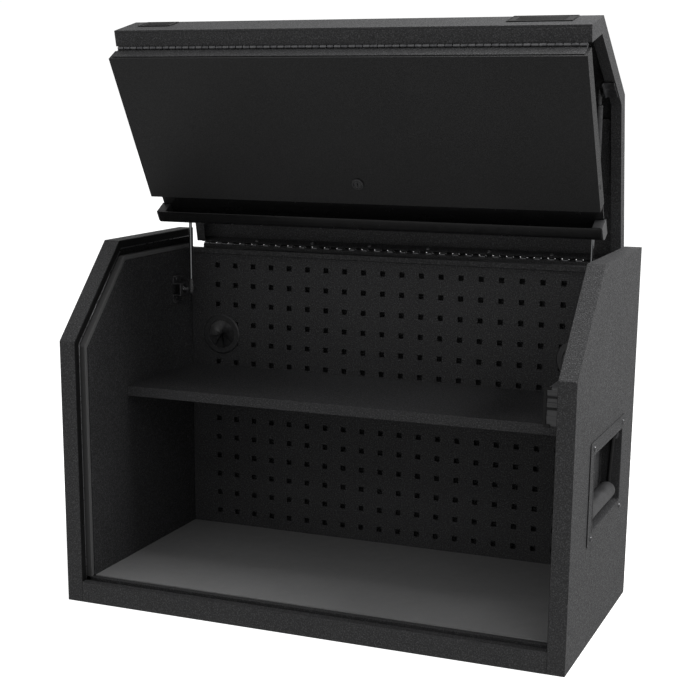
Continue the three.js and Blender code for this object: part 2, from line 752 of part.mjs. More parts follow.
function frontShell() {
  const side = LID_HALF - SHEET;
  const open = LID_HALF - FRONT_RETURN;
  const [low, high] = [frontLow + SHEET, FRONT_TOP - SHEET];
  const inside = LID_RECESS + SHEET;
  const whole = block([-LID_HALF, LID_HALF], [LID_RECESS, frontRear], [frontLow, FRONT_TOP]);
  const hollow = block([-side, side], [inside, frontRear - SHEET], [low, high]);
  const mouth = block(
    [-open, open],
    [inside, frontRear + 1],
    [frontLow + FRONT_RETURN, FRONT_TOP - FRONT_RETURN],
  );
  const lockHole = bar('y', BARREL_RADIUS + GAP, [LID_RECESS - 1, inside + 1], [0, LOCK_Z], ROUND);
  const slots = block(
    [-LID_HALF - 1, LID_HALF + 1],
    about(ROD_Y, ROD_SHEET + 2 * SLIP),
    about(LOCK_Z, ROD_HEIGHT + 2 * SLIP),
  );
  return cut(whole, hollow, mouth, lockHole, slots);
}

// The pull's section as distances below the front's top edge and behind its face
const pullPoint = ([down, behind]) => [LID_RECESS + behind, FRONT_TOP - down];

// Its curled lip from the top edge down to the underside, moved in from the outer surface
function curl(inwards) {
  const points = [[PULL_TOP, PULL_FACE + inwards]];
  for (let i = 0; i <= CURL_STEPS; i += 1) {
    const angle = (i * Math.PI) / 2 / CURL_STEPS;
    points.push([
      PULL_BOTTOM - CURL_DROP + (CURL_DROP - inwards) * Math.sin(angle),
      PULL_FACE + CURL_BACK - (CURL_BACK - inwards) * Math.cos(angle),
    ]);
  }
  return points;
}

function pull() {
  const top = FRONT_FACE - FRONT_RETURN;
  const inner = PULL_REACH - PULL_WALL;
  const outside = [...curl(0), [PULL_BOTTOM, PULL_REACH], [top, PULL_REACH]];
  const inside = [[top, inner], [PULL_BOTTOM - PULL_WALL, inner], ...curl(PULL_WALL).reverse()];
  const side = LID_HALF - PULL_CAP - GAP;
  return prismX([...outside, ...inside].map(pullPoint), [-side, side]);
}

function pullCap(side) {
  const fit = PULL_WALL + SLIP;
  const plate = [...curl(0), [PULL_BOTTOM, PULL_REACH], [PULL_TOP, PULL_REACH]];
  const rear = PULL_REACH - fit;
  const plug = [...curl(fit), [PULL_BOTTOM - fit, rear], [PULL_TOP, rear]];
  const outside = prismX(plate.map(pullPoint), across(side, LID_SIDE, LID_SIDE + PULL_CAP));
  const inside = prismX(plug.map(pullPoint), across(side, LID_SIDE + 1, LID_SIDE + PULL_PLUG));
  return join(outside, inside);
}

// ---- lock ------------------------------------------------------------------------------------

const camFront = LID_RECESS + BARREL_LENGTH + GAP;

function lockBarrel() {
  const face = LID_RECESS - GAP;
  const centre = [0, LOCK_Z];
  const collar = bar('y', COLLAR_RADIUS, [face - COLLAR_THICK, face], centre, ROUND);
  const body = bar('y', BARREL_RADIUS, [face - 1, LID_RECESS + BARREL_LENGTH], centre, ROUND);
  const bore = bar('y', PLUG_RADIUS + GAP, [-BARREL_LENGTH, 2 * BARREL_LENGTH], centre);
  return cut(join(collar, body), bore);
}

function lockPlug() {
  const front = LID_RECESS - COLLAR_THICK;
  const plug = bar('y', PLUG_RADIUS, [front, camFront], [0, LOCK_Z]);
  const key = block(about(0, KEY_WIDTH), [front - 1, front + KEY_DEPTH], about(LOCK_Z, KEY_HEIGHT));
  return cut(plug, key);
}

function lockCam() {
  const y = [camFront + GAP, camFront + GAP + CAM_SHEET];
  const round = (CAM_LENGTH - CAM_WIDTH) / 2;
  const ends = [-round, round].map((z) => bar('y', CAM_WIDTH / 2, y, [0, LOCK_Z + z]));
  return join(block(about(0, CAM_WIDTH), y, about(LOCK_Z, 2 * round)), ...ends);
}

// A flat bar from the front's side slot to the lock, stepping back past the barrel
function lockRod(side) {
  const outer = ROD_Y - ROD_SHEET / 2;
  const inner = camFront + GAP;
  const step = inner - outer;
  const end = LID_HALF - SLIP;
  const outline = [
    [ROD_START, inner],
    [ROD_CRANK, inner],
    [ROD_CRANK + step, outer],
    [end, outer],
    [end, outer + ROD_SHEET],
    [ROD_CRANK + step + 1, outer + ROD_SHEET],
    [ROD_CRANK + 1, inner + ROD_SHEET],
    [ROD_START, inner + ROD_SHEET],
  ];
  return prismZ(outline.map(([x, y]) => [side * x, y]), about(LOCK_Z, ROD_HEIGHT));
}

// A bridge fixed inside the front that carries a rod
function rodGuide(side) {
  const back = LID_RECESS + SHEET + GAP;
  const tall = ROD_HEIGHT + 2 * GUIDE_WALL;
  const x = about(side * GUIDE_X, GUIDE_WIDTH);
  const deep = ROD_Y + ROD_SHEET / 2 + SLIP + GUIDE_SHEET;
  const bridge = block(x, [back, deep], about(LOCK_Z, tall));
  const feet = block(x, [back, back + GUIDE_SHEET], about(LOCK_Z, tall + 2 * GUIDE_FOOT));
  const passage = block(
    [x[0] - 1, x[1] + 1],
    about(ROD_Y, ROD_SHEET + 2 * SLIP),
    about(LOCK_Z, ROD_HEIGHT + 2 * SLIP),
  );
  return cut(join(bridge, feet), passage);
}

// ---- gas struts ------------------------------------------------------------------------------

const studOpen = turned(studLid, REAR_AXIS, -LID_OPEN);
const lengthFrom = ([y, z]) => Math.hypot(y - STUD_LOW[0], z - STUD_LOW[1]);
const STRUT_OPEN = lengthFrom(studOpen);
const STRUT_SHUT = lengthFrom(studLid);

function strutBracket(side) {
  const [y, z] = STUD_LOW;
  const near = INNER_FACE + GAP;
  const wide = about(y, BRACKET_WIDTH);
  const foot = block(across(side, near, near + BRACKET_SHEET), wide, about(z, BRACKET_TALL));
  const hat = block(across(side, near, BRACKET_FACE), wide, about(z, BRACKET_RISE));
  const inside = block(
    across(side, near - 1, BRACKET_FACE - BRACKET_SHEET),
    about(y, BRACKET_WIDTH + 2),
    about(z, BRACKET_RISE - 2 * BRACKET_SHEET),
  );
  const stud = bar('x', STUD_RADIUS, across(side, BRACKET_FACE - 1, studEnd), [y, z]);
  return join(cut(join(foot, hat), inside), stud);
}

// Strut pieces stand on the lower stud, along their own +Z
const strutRodEnd = () => bar('z', FITTING_RADIUS, [-FITTING_BELOW, FITTING_ABOVE], [0, 0]);
const strutRod = () => bar('z', ROD_RADIUS, [FITTING_ABOVE + GAP, ROD_TOP], [0, 0]);

function strutCylinder() {
  const top = STRUT_OPEN - FITTING_ABOVE;
  const length = STRUT_SHUT - 2 * FITTING_ABOVE - STRUT_MARGIN;
  const tube = bar('z', CYLINDER_RADIUS, [top - length, top], [0, 0], ROUND);
  const bore = bar('z', CYLINDER_BORE, [top - length - 1, top - CYLINDER_END], [0, 0]);
  return cut(tube, bore);
}

function strutCylinderEnd() {
  const low = STRUT_OPEN - FITTING_ABOVE + GAP;
  return bar('z', FITTING_RADIUS, [low, STRUT_OPEN + FITTING_BELOW], [0, 0]);
}

function addStrut(parent, side, hand) {
  add(parent, `strut_bracket_${hand}`, strutBracket(side), 'steel');
  const strut = new THREE.Group();
  strut.position.set(side * (HALF - STRUT_SIDE), ...STUD_LOW);
  strut.rotation.x = Math.atan2(STUD_LOW[0] - studOpen[0], studOpen[1] - STUD_LOW[1]);
  parent.add(strut);
  add(strut, `strut_rod_end_${hand}`, strutRodEnd(), 'rubber');
  add(strut, `strut_rod_${hand}`, strutRod(), 'bright');
  add(strut, `strut_cylinder_${hand}`, strutCylinder(), 'smooth');
  add(strut, `strut_cylinder_end_${hand}`, strutCylinderEnd(), 'rubber');
}

// ---- assembly --------------------------------------------------------------------------------

function addCase(parent) {
  for (const [side, hand] of SIDES) {
    add(parent, `side_panel_${hand}`, sidePanel(side), 'textured');
    add(parent, `inner_side_${hand}`, innerSide(side), 'textured');
    add(parent, `edge_seal_${hand}`, edgeSeal(side), 'foam');
    add(parent, `grommet_${hand}`, grommet(side), 'rubber');
    add(parent, `grommet_star_${hand}`, grommetStar(side), 'rubber');
    addHandle(parent, side, hand);
    addStrut(parent, side, hand);
  }
  add(parent, 'back_cover', backCover(), 'textured');
  add(parent, 'peg_panel', pegPanel(), 'textured');
  add(parent, 'base_pan', basePan(), 'textured');
  add(parent, 'floor_deck', floorDeck(), 'textured');
  add(parent, 'floor_liner', floorLiner(), 'liner');
  add(parent, 'shelf', shelf(), 'textured');
  add(parent, 'power_strip_case', powerStripCase(), 'plastic');
  add(parent, 'power_strip_face', powerStripFace(), 'plastic');
  add(parent, 'rear_hinge_case_leaf', rearLeaf(-1), 'steel');
  const pin = bar('x', PIN_RADIUS, [-REAR_HINGE_HALF, REAR_HINGE_HALF], REAR_AXIS, PIN);
  add(parent, 'rear_hinge_pin', pin, 'steel');
}

function addLid(parent) {
  add(parent, 'lid_shell', lidShell(), 'textured');
  add(parent, 'lid_stiffener', lidStiffener(), 'textured');
  add(parent, 'rear_hinge_lid_leaf', rearLeaf(1), 'steel');
  add(parent, 'front_hinge_lid_leaf', frontLeaf(1), 'steel');
  const pin = bar('x', PIN_RADIUS, [-FRONT_HINGE_HALF, FRONT_HINGE_HALF], FRONT_AXIS, PIN);
  add(parent, 'front_hinge_pin', pin, 'steel');
  for (const [side, hand] of SIDES) {
    add(parent, `lid_strut_bracket_${hand}`, lidStrutBracket(side), 'steel');
    add(parent, `badge_${hand}`, badge(side, hand), 'smooth');
  }
}

function addFront(parent) {
  add(parent, 'front_shell', frontShell(), 'smooth');
  add(parent, 'front_hinge_front_leaf', frontLeaf(-1), 'steel');
  add(parent, 'pull', pull(), 'gloss');
  add(parent, 'lock_barrel', lockBarrel(), 'steel');
  add(parent, 'lock_plug', lockPlug(), 'steel');
  add(parent, 'lock_cam', lockCam(), 'steel');
  for (const [side, hand] of SIDES) {
    add(parent, `pull_cap_${hand}`, pullCap(side), 'plastic');
    add(parent, `lock_rod_${hand}`, lockRod(side), 'steel');
    add(parent, `rod_guide_${hand}`, rodGuide(side), 'steel');
  }
}

const chest = new THREE.Group();
const fromFront = new THREE.Group();
fromFront.position.y = -DEPTH / 2;
chest.add(fromFront);
addCase(fromFront);
const lid = turnedGroup(fromFront, REAR_AXIS, -LID_OPEN);
addLid(lid);
const front = turnedGroup(lid, FRONT_AXIS, FRONT_TUCK);
addFront(front);

export default chest;
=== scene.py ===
"""A black tool chest, open: looks for the CAD frame, and the small pieces it leaves plain."""
import json
from math import cos, pi, radians, sin

import bmesh
import bpy
from mathutils import Matrix, Vector


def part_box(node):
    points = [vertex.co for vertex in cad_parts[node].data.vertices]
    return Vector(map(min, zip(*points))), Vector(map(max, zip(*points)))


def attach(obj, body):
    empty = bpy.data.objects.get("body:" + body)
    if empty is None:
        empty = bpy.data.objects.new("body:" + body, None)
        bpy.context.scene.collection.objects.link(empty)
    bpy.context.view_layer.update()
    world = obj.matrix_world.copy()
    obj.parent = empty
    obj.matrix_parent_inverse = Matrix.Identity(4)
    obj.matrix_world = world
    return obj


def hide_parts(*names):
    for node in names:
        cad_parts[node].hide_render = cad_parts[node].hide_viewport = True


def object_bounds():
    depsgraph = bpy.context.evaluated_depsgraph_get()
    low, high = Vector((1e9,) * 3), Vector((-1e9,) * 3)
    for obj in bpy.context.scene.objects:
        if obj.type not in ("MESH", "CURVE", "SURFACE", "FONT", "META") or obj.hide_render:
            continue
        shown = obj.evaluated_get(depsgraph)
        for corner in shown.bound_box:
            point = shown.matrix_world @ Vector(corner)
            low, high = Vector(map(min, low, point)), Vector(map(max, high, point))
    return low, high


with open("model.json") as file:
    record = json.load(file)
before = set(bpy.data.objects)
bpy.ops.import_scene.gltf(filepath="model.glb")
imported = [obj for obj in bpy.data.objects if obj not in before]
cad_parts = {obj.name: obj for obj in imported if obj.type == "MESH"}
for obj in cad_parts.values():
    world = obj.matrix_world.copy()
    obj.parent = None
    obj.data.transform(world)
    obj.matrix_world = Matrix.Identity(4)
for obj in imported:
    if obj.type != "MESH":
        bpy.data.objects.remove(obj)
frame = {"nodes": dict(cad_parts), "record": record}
cad_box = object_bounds()
NODES = frame["nodes"]
BEHAVIOUR = frame["record"]["behaviour"]
JOINTS = {j["name"]: j for j in BEHAVIOUR["joints"]}
RATIO = {c["joint"]: c["ratio"] for c in BEHAVIOUR["couplings"]}
SIDES = ((-1, "left"), (1, "right"))


# ---- frames --------------------------------------------------------------------------------------

def turn(joint, degrees):
    """The motion of a hinge, as a matrix in the row frame."""
    at = Vector(JOINTS[joint]["pos_m"])
    spin = Matrix.Rotation(radians(degrees), 4, Vector(JOINTS[joint]["axis"]))
    return Matrix.Translation(at) @ spin @ Matrix.Translation(-at)


# The lid and the front are described in the closed chest, and these place them as they stand open
LID_SHUT = JOINTS["lid_hinge"]["range_deg"][1]
LID = turn("lid_hinge", -LID_SHUT)
FRONT = turn("front_hinge", -LID_SHUT * RATIO["front_hinge"]) @ LID
CASE = Matrix.Identity(4)


def local(node, place):
    """A CAD node's lowest and highest corners in the closed chest."""
    back = place.inverted()
    points = [back @ v.co for v in NODES[node].data.vertices]
    low = Vector(min(p[i] for p in points) for i in range(3))
    high = Vector(max(p[i] for p in points) for i in range(3))
    return low, high


# ---- materials -----------------------------------------------------------------------------------

class Look:
    """Builds one procedural material on a Principled shader."""

    def __init__(self, name, color, roughness, metallic=0.0, specular=0.5, coat=0.0):
        self.mat = bpy.data.materials.new(name)
        self.mat.use_nodes = True
        self.nodes = self.mat.node_tree.nodes
        self.links = self.mat.node_tree.links
        self.shader = self.nodes["Principled BSDF"]
        self.color = color
        self.roughness = roughness
        values = {
            "Base Color": (*color, 1.0),
            "Roughness": roughness,
            "Metallic": metallic,
            "Specular IOR Level": specular,
            "Coat Weight": coat,
            "Coat Roughness": 0.15,
        }
        for key, value in values.items():
            self.shader.inputs[key].default_value = value
        self.place = self.nodes.new("ShaderNodeTexCoord").outputs["Object"]
        self.normal = None

    def node(self, kind, **inputs):
        made = self.nodes.new(kind)
        for key, value in inputs.items():
            socket = made.inputs[key.replace("_", " ")]
            if isinstance(value, bpy.types.NodeSocket):
                self.links.new(value, socket)
            else:
                socket.default_value = value
        return made

    def noise(self, scale, detail=2.0, rough=0.5):
        made = self.node("ShaderNodeTexNoise", Scale=scale, Detail=detail, Roughness=rough)
        self.links.new(self.place, made.inputs["Vector"])
        return made.outputs["Fac"]

    def cells(self, scale, feature="F1"):
        made = self.node("ShaderNodeTexVoronoi", Scale=scale)
        made.feature = feature
        self.links.new(self.place, made.inputs["Vector"])
        return made.outputs["Distance"]

    def stretched(self, scales, detail=3.0):
        """Noise drawn out along one axis, for brushed or extruded surfaces."""
        mapping = self.node("ShaderNodeMapping", Vector=self.place, Scale=scales)
        made = self.node("ShaderNodeTexNoise", Scale=1.0, Detail=detail)
        self.links.new(mapping.outputs["Vector"], made.inputs["Vector"])
        return made.outputs["Fac"]

    def span(self, fac, low, high, a=0.0, b=1.0):
        made = self.node("ShaderNodeMapRange", Value=fac, From_Min=a, From_Max=b)
        made.inputs["To Min"].default_value = low
        made.inputs["To Max"].default_value = high
        return made.outputs["Result"]

    def tint(self, *layers):
        """Mixes the base colour with others, each as (factor, colour)."""
        last = None
        for fac, color in layers:
            mix = self.nodes.new("ShaderNodeMix")
            mix.data_type = "RGBA"
            self.links.new(fac, mix.inputs["Factor"])
            if last is None:
                mix.inputs["A"].default_value = (*self.color, 1.0)
            else:
                self.links.new(last, mix.inputs["A"])
            mix.inputs["B"].default_value = (*color, 1.0)
            last = mix.outputs["Result"]
        self.links.new(last, self.shader.inputs["Base Color"])
        return self

    def rough(self, fac, low, high, a=0.3, b=0.7):
        self.links.new(self.span(fac, low, high, a, b), self.shader.inputs["Roughness"])
        return self

    def bump(self, fac, strength, distance):
        made = self.node("ShaderNodeBump", Height=fac, Strength=strength, Distance=distance)
        if self.normal is not None:
            self.links.new(self.normal, made.inputs["Normal"])
        self.normal = made.outputs["Normal"]
        self.links.new(self.normal, self.shader.inputs["Normal"])
        return self


def powder_coat(name, color, painted_glint, grain, relief, roughness=0.62, specular=0.32):
    """Textured powder coat: orange peel with faint mottling, painted highlights on its peaks and in
    fine specks, and painted shade in its pits.
    """
    look = Look(name, color, roughness, specular=specular)
    coarse = look.noise(grain, 2.0, 0.55)
    fine = look.noise(grain * 2.3, 2.0, 0.6)
    mottle = look.noise(6.0, 2.0)
    shaded_pits = tuple(c * 0.5 for c in color)
    lighter = tuple(c * 1.3 for c in color)
    # The pits' darker colour is painted shade and the glint colour is painted highlight on peaks
    # and fine specks; the mottling is the coat's own tone
    look.tint(
        (look.span(mottle, 0.0, 0.6, 0.4, 0.65), lighter),
        (look.span(coarse, 0.7, 0.0, 0.3, 0.47), shaded_pits),
        (look.span(coarse, 0.0, 0.6, 0.52, 0.72), painted_glint),
        (look.span(fine, 0.0, 0.8, 0.58, 0.74), painted_glint),
    )
    look.rough(coarse, roughness + 0.12, roughness - 0.16)
    look.bump(coarse, relief, 0.0012)
    look.bump(fine, relief * 0.5, 0.0005)
    return look.mat


def make_looks():
    looks = {}
    looks["coat"] = powder_coat(
        "coat_textured", (0.023, 0.023, 0.024), (0.105, 0.105, 0.108), 470.0, 0.75)
    # The inside panels get a darker copy of the same coat: painted shade for the inside of the
    # chest
    looks["inner"] = powder_coat(
        "coat_inside_shaded", (0.018, 0.018, 0.019), (0.090, 0.090, 0.093), 430.0, 0.8)
    looks["smooth"] = powder_coat(
        "coat_smooth", (0.012, 0.012, 0.0123), (0.028, 0.028, 0.0285), 600.0, 0.25, 0.5, 0.26)

    black = Look("deep_black", (0.004, 0.004, 0.0042), 0.45, specular=0.25)
    skin = black.noise(500.0)
    black.tint((black.span(skin, 0.0, 0.6, 0.45, 0.7), (0.012, 0.012, 0.0122)))
    black.rough(skin, 0.38, 0.55)
    black.bump(skin, 0.1, 0.0002)
    looks["black"] = black.mat

    pull = Look("pull_gloss", (0.007, 0.007, 0.0072), 0.22, specular=0.36, coat=0.12)
    drawn = pull.stretched((1.5, 240.0, 240.0), 1.0)
    pull.tint((pull.span(drawn, 0.0, 0.3, 0.4, 0.8), (0.018, 0.018, 0.0185)))
    pull.rough(pull.noise(60.0), 0.2, 0.28)
    pull.bump(pull.noise(1500.0), 0.03, 0.0001)
    looks["gloss"] = pull.mat

    hinge = Look("hinge_steel", (0.125, 0.125, 0.129), 0.3, metallic=0.85, specular=0.5)
    wear = hinge.noise(90.0, 2.0)
    hinge.tint((hinge.span(wear, 0.0, 0.6, 0.4, 0.8), (0.18, 0.18, 0.184)))
    hinge.rough(wear, 0.24, 0.36)
    hinge.bump(hinge.noise(1400.0), 0.06, 0.0001)
    looks["hinge"] = hinge.mat

    steel = Look("steel_dark", (0.10, 0.10, 0.105), 0.38, metallic=0.9)
    worn = steel.noise(140.0, 4.0)
    steel.tint((steel.span(worn, 0.0, 0.7, 0.45, 0.75), (0.26, 0.26, 0.265)))
    steel.rough(worn, 0.3, 0.52)
    steel.bump(steel.noise(900.0), 0.15, 0.0002)
    looks["steel"] = steel.mat

    zinc = Look("screw_zinc", (0.12, 0.12, 0.124), 0.3, metallic=0.95)
    patch = zinc.noise(300.0, 3.0)
    zinc.tint((zinc.span(patch, 0.0, 0.6, 0.4, 0.8), (0.06, 0.06, 0.062)))
    zinc.rough(patch, 0.2, 0.4)
    zinc.bump(zinc.noise(1600.0), 0.12, 0.0001)
    looks["zinc"] = zinc.mat

    bright = Look("rod_bright", (0.24, 0.245, 0.25), 0.2, metallic=1.0)
    ground = bright.stretched((1500.0, 1500.0, 60.0))
    bright.rough(ground, 0.12, 0.26)
    bright.tint((bright.span(ground, 0.0, 0.5, 0.4, 0.8), (0.15, 0.155, 0.16)))
    bright.bump(ground, 0.08, 0.0001)
    looks["bright"] = bright.mat

    gloss = Look("cylinder_paint", (0.013, 0.013, 0.014), 0.3, specular=0.5)
    skin = gloss.noise(200.0)
    gloss.tint((gloss.span(skin, 0.0, 0.5, 0.4, 0.8), (0.03, 0.03, 0.031)))
    gloss.rough(skin, 0.24, 0.42)
    gloss.bump(skin, 0.1, 0.0002)
    looks["cylinder"] = gloss.mat

    grip = Look("grip_rubber", (0.01968, 0.01968, 0.0205), 0.55, specular=0.4)
    pores = grip.cells(1100.0)
    grip.tint((grip.span(grip.noise(40.0), 0.0, 0.6, 0.4, 0.7), (0.045, 0.045, 0.047)))
    grip.rough(pores, 0.65, 0.45, 0.0, 0.6)
    grip.bump(pores, 0.25, 0.0003)
    looks["grip"] = grip.mat

    rubber = Look("grommet_rubber", (0.02, 0.02, 0.021), 0.42, specular=0.5)
    dust = rubber.noise(260.0, 4.0)
    rubber.tint((rubber.span(dust, 0.0, 0.7, 0.5, 0.8), (0.06, 0.06, 0.062)))
    rubber.rough(dust, 0.34, 0.52)
    rubber.bump(rubber.noise(1200.0), 0.2, 0.0003)
    looks["rubber"] = rubber.mat

    liner = Look("floor_mat", (0.18, 0.18, 0.181), 0.5, specular=0.4)
    folds = liner.stretched((2.2, 5.0, 1.0), 1.0)
    scuff = liner.noise(24.0, 5.0, 0.65)
    liner.tint(
        (liner.span(folds, 0.0, 0.6, 0.35, 0.7), (0.205, 0.205, 0.207)),
        (liner.span(scuff, 0.0, 0.3, 0.5, 0.8), (0.23, 0.23, 0.232)),
    )
    liner.rough(scuff, 0.42, 0.62)
    liner.bump(folds, 0.5, 0.004)
    liner.bump(liner.noise(1300.0, 2.0), 0.25, 0.0002)
    looks["liner"] = liner.mat

    foam = Look("seal_foam", (0.085, 0.085, 0.086), 0.75, specular=0.18)
    shaded_pits = foam.cells(900.0)
    # Darker in the pores, where the bump dips: painted shade
    foam.tint((foam.span(shaded_pits, 0.5, 0.0, 0.05, 0.3), (0.06, 0.06, 0.06)))
    foam.rough(foam.noise(30.0), 0.65, 0.85)
    foam.bump(shaded_pits, 0.4, 0.0004)
    looks["foam"] = foam.mat

    plastic = Look("plastic_grey", (0.062, 0.062, 0.064), 0.48, specular=0.45)
    spark = plastic.noise(1100.0, 2.0)
    plastic.tint((plastic.span(plastic.noise(18.0), 0.0, 0.5, 0.4, 0.7), (0.085, 0.085, 0.087)))
    plastic.rough(spark, 0.4, 0.58)
    plastic.bump(spark, 0.25, 0.0002)
    looks["plastic"] = plastic.mat

    cap = Look("plastic_black", (0.02, 0.02, 0.021), 0.4, specular=0.5)
    skin = cap.noise(1000.0, 2.0)
    cap.tint((cap.span(cap.noise(30.0), 0.0, 0.5, 0.4, 0.7), (0.034, 0.034, 0.035)))
    cap.rough(skin, 0.34, 0.5)
    cap.bump(skin, 0.2, 0.0002)
    looks["cap"] = cap.mat
    return looks


LOOKS = make_looks()


# ---- CAD nodes -----------------------------------------------------------------------------------

def paint(look, *names):
    for name in names:
        node = NODES[name]
        if not node.data.materials:
            node.data.materials.append(LOOKS[look])
        for slot in node.material_slots:
            slot.material = LOOKS[look]


def soften(width, *names, angle=40):
    """Gives edges a small radius, and shades smooth what is nearly flat across an edge."""
    for name in names:
        node = NODES[name]
        mesh = node.data
        if "custom_normal" in mesh.attributes:
            mesh.attributes.remove(mesh.attributes["custom_normal"])
        mesh.shade_smooth()
        weld = node.modifiers.new("weld", "WELD")
        weld.merge_threshold = 1e-5
        bevel = node.modifiers.new("edge", "BEVEL")
        bevel.width = width
        bevel.segments = 2
        bevel.limit_method = "ANGLE"
        bevel.angle_limit = radians(angle)
        bevel.use_clamp_overlap = False
        bevel.harden_normals = True


def both(name):
    return [f"{name}_left", f"{name}_right"]


paint("coat", *both("side_panel"), "base_pan", "floor_deck", "back_cover")
paint("coat", "lid_shell", "lid_stiffener", *both("handle_cup"))
# The inside panels take the darker copy of the coat, which is painted shade
paint("inner", *both("inner_side"), "peg_panel", "shelf")
paint("smooth", "front_shell")
paint("gloss", "pull")
paint("cap", *both("pull_cap"))
paint("liner", "floor_liner")
paint("foam", *both("edge_seal"))
paint("rubber", *both("grommet"), *both("grommet_star"))
paint("black", *both("bail"))
paint("steel", *both("strut_bracket"), *both("lid_strut_bracket"), *both("rod_guide"))
paint("cylinder", "lock_barrel", "lock_plug")
paint("steel", "lock_cam", *both("lock_rod"))
paint("hinge", "rear_hinge_pin", "front_hinge_pin")
paint("bright", *both("strut_rod"))
paint("cylinder", *both("strut_cylinder"))
paint("plastic", "power_strip_case")
paint("cap", "power_strip_face")
soften(0.0005, *both("side_panel"), "lid_shell", "front_shell", "base_pan", "floor_deck")
soften(0.0005, "back_cover", "shelf", *both("inner_side"), *both("handle_cup"), "lid_stiffener")
soften(0.0006, *both("pull_cap"), "pull")
soften(0.0012, *both("edge_seal"))
soften(0.0004, "lock_barrel", *both("strut_cylinder"), *both("bail"), *both("strut_bracket"))
soften(0.0004, *both("lid_strut_bracket"), *both("strut_rod"), *both("grommet"))


# ---- pieces --------------------------------------------------------------------------------------

def piece(name, bm, look, body, place=CASE, angle=35, bevel=0.0):
    """Turns a bmesh that was drawn in the closed chest into a piece that rides on a body."""
    mesh = bpy.data.meshes.new(name)
    bmesh.ops.recalc_face_normals(bm, faces=bm.faces)
    bm.to_mesh(mesh)
    bm.free()
    mesh.transform(place)
    mesh.shade_smooth()
    mesh.set_sharp_from_angle(angle=radians(angle))
    mesh.materials.append(LOOKS[look])
    obj = bpy.data.objects.new(name, mesh)
    bpy.context.scene.collection.objects.link(obj)
    if bevel:
        edge = obj.modifiers.new("edge", "BEVEL")
        edge.width = bevel
        edge.segments = 2
        edge.limit_method = "ANGLE"
        edge.angle_limit = radians(40)
        edge.use_clamp_overlap = True
    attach(obj, body)
    return obj


def loft(bm, rings):
    """Faces between rings of vertices that follow one another, with both ends capped."""
    count = len(rings[0])
    for a, b in zip(rings, rings[1:]):
        for i in range(count):
            j = (i + 1) % count
            bm.faces.new((a[i], a[j], b[j], b[i]))
    bm.faces.new(rings[0][::-1])
    bm.faces.new(rings[-1])


def strip(bm, outline, x0, x1):
    """A closed outline in (y, z), drawn from x0 to x1."""
    loft(bm, [[bm.verts.new((x, y, z)) for y, z in outline] for x in (x0, x1)])


def lathe(bm, profile, at, axis, sides=24):
    """A profile of (radius, distance along the axis), turned about an axis through a point."""
    axis = Vector(axis).normalized()
    spin = axis.to_track_quat("Z", "Y").to_matrix()
    rings = []
    for radius, along in profile:
        ring = []
        for i in range(sides):
            a = 2 * pi * i / sides
            arm = Vector((radius * cos(a), radius * sin(a), along))
            ring.append(bm.verts.new(Vector(at) + spin @ arm))
        rings.append(ring)
    loft(bm, rings)


def slab(bm, low, high):
    """A box between two corners."""
    made = bmesh.ops.create_cube(bm, size=1.0)["verts"]
    size = Vector(high) - Vector(low)
    middle = (Vector(high) + Vector(low)) / 2
    for v in made:
        v.co = Vector(v.co[i] * size[i] + middle[i] for i in range(3))


def screw(bm, at, axis, radius, rise):
    """A pan head with a shallow round recess, raised from the surface along the axis."""
    lathe(bm, [
        (radius, -0.0002), (radius, rise * 0.3), (radius * 0.86, rise * 0.75), (radius * 0.6, rise),
        (radius * 0.42, rise), (radius * 0.3, rise * 0.45), (radius * 0.1, rise * 0.4),
    ], at, axis, 16)


def rivet(bm, at, axis, radius, rise):
    """A low domed head, raised from the surface along the axis."""
    lathe(bm, [
        (radius, -0.0002), (radius * 0.92, rise * 0.5),
        (radius * 0.6, rise * 0.9), (radius * 0.15, rise),
    ], at, axis, 14)


# ---- piano hinges --------------------------------------------------------------------------------

KNUCKLE = 0.0127  # the length of one knuckle
ROLL = 320  # how far round the pin a knuckle is rolled, in degrees
SHEET = 0.0011
SPLIT = 0.0009  # the gap at each end of a knuckle


def knuckle_outline(radius, sheet, start, sweep, steps=14):
    """A rolled sheet about the origin in (y, z), from a start angle in degrees."""
    angles = [radians(start + sweep * i / steps) for i in range(steps + 1)]
    outer = [(radius * cos(a), radius * sin(a)) for a in angles]
    inner = [((radius - sheet) * cos(a), (radius - sheet) * sin(a)) for a in reversed(angles)]
    return outer + inner


def piano_leaf(name, axis, radius, half, first, start, sweep, plate, body, place, node, look):
    """One leaf: its plate, and every second knuckle rolled about the pin."""
    y, z = axis
    bm = bmesh.new()
    count = round(2 * half / KNUCKLE)
    pitch = 2 * half / count
    roll = [(y + a, z + b) for a, b in knuckle_outline(radius, SHEET, start, sweep)]
    for i in range(first, count, 2):
        x = -half + i * pitch
        strip(bm, roll, x + SPLIT, x + pitch - SPLIT)
    obj = piece(name, bm, look, body, place, angle=30)
    bm = bmesh.new()
    (y0, y1), (z0, z1) = plate
    slab(bm, (-half, y0, z0), (half, y1, z1))
    leaf = piece(f"{node}_plate", bm, "coat", body, place, bevel=0.0003)
    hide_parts(node)
    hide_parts(node)


def rear_hinge():
    _, y, z = JOINTS["lid_hinge"]["pos_m"]
    low, high = local("rear_hinge_case_leaf", CASE)
    half = high.x
    radius = 0.0037
    inner = y - radius
    start = 180
    for up, first, body, place, node in (
        (-1, 1, "case", CASE, "rear_hinge_case_leaf"),
        (1, 0, "lid", LID, "rear_hinge_lid_leaf"),
    ):
        far = low.z if up < 0 else local(node, LID)[1].z
        near = z + up * 0.0008
        sweep = -ROLL * up
        plate = ((inner, inner + 0.0012), tuple(sorted((near, far))))
        # Lighter hinge steel on the lid leaf's knuckles and black on the case leaf's: painted light
        # and shade, so that the knuckles show as bright and dark dashes
        look = "hinge" if up > 0 else "black"
        piano_leaf(f"{node}_fine", (y, z), radius, half, first, start, sweep,
                   plate, body, place, node, look)


